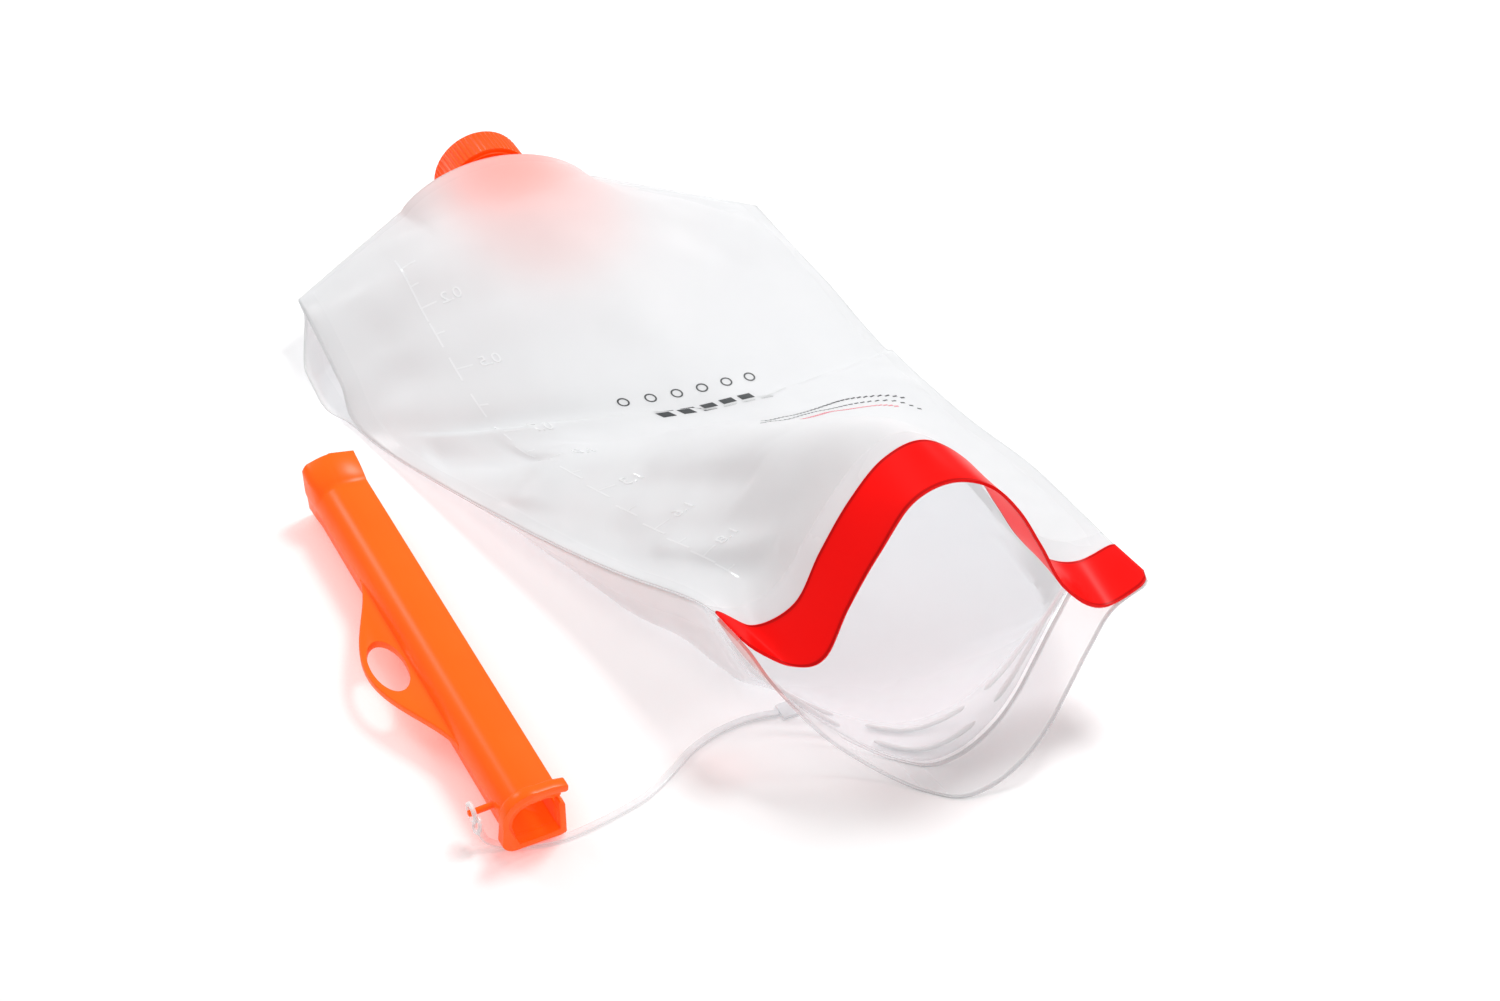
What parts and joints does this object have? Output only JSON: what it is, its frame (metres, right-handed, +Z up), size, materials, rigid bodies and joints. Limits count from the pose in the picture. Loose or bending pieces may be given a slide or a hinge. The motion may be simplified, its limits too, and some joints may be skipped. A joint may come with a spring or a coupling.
{
  "type": "hydration bladder",
  "caption": "Soft film drinking reservoir with an open slide-top mouth, a welded outlet port with locking collar and check valve, and a channel slide clip on a tether.",
  "frame": {"origin": "on the flat underside of the bag, on the surface that the bag lies on", "axes": "+Z up, +Y towards the outlet port along the clip's long axis, -Y out of the mouth, +X to the right seen from the mouth"},
  "size_m": [0.2508, 0.3796, 0.1065],
  "materials": {
    "frosted_film": "frosted translucent polyurethane film, soft sheen",
    "clear_band": "clear glossy film band",
    "red_band": "satin red film band",
    "orange_plastic": "translucent orange moulding, satin gloss",
    "clear_strap": "clear flexible strap",
    "dark_rubber": "matt",
    "white_plastic": "moulded",
    "spring_steel": "drawn wire"
  },
  "bodies": {
    "reservoir": {"front_film": "frosted_film", "back_film": "frosted_film", "front_lip_band": "red_band", "back_lip_band": "clear_band", "lip_rib_left_outer": "clear_band", "lip_rib_left_inner": "clear_band", "lip_rib_middle_outer": "clear_band", "lip_rib_middle_inner": "clear_band", "lip_rib_right_outer": "clear_band", "lip_rib_right_inner": "clear_band", "outlet_flange": "orange_plastic", "socket_o_ring": "dark_rubber", "valve_body": "orange_plastic", "valve_spring": "spring_steel", "spring_retainer": "white_plastic", "tether_strap": "clear_strap", "tether_eyelet": "clear_strap", "tether_anchor": "clear_strap"},
    "collar": {"outlet_collar": "orange_plastic", "collar_washer": "dark_rubber"},
    "poppet": {"valve_poppet": "white_plastic", "poppet_seal": "dark_rubber"},
    "clip": {"slide_clip": "orange_plastic"}
  },
  "joints": [
    {"name": "collar_turn", "type": "hinge", "parent": "reservoir", "child": "collar", "pos_m": [-0.0185, 0.205, 0.0205], "axis": [0, 1, 0], "range_deg": [0, 60]},
    {"name": "valve_push", "type": "slide", "parent": "reservoir", "child": "poppet", "axis": [0, -1, 0], "range_m": [0, 0.0035], "stiffness_N_per_m": 250, "springref_m": -0.002, "deforming": ["valve_spring"]},
    {"name": "clip_swivel", "type": "hinge", "parent": "reservoir", "child": "clip", "pos_m": [-0.157, -0.106, 0], "axis": [0, 0, 1], "range_deg": [-4, 25]}
  ]
}
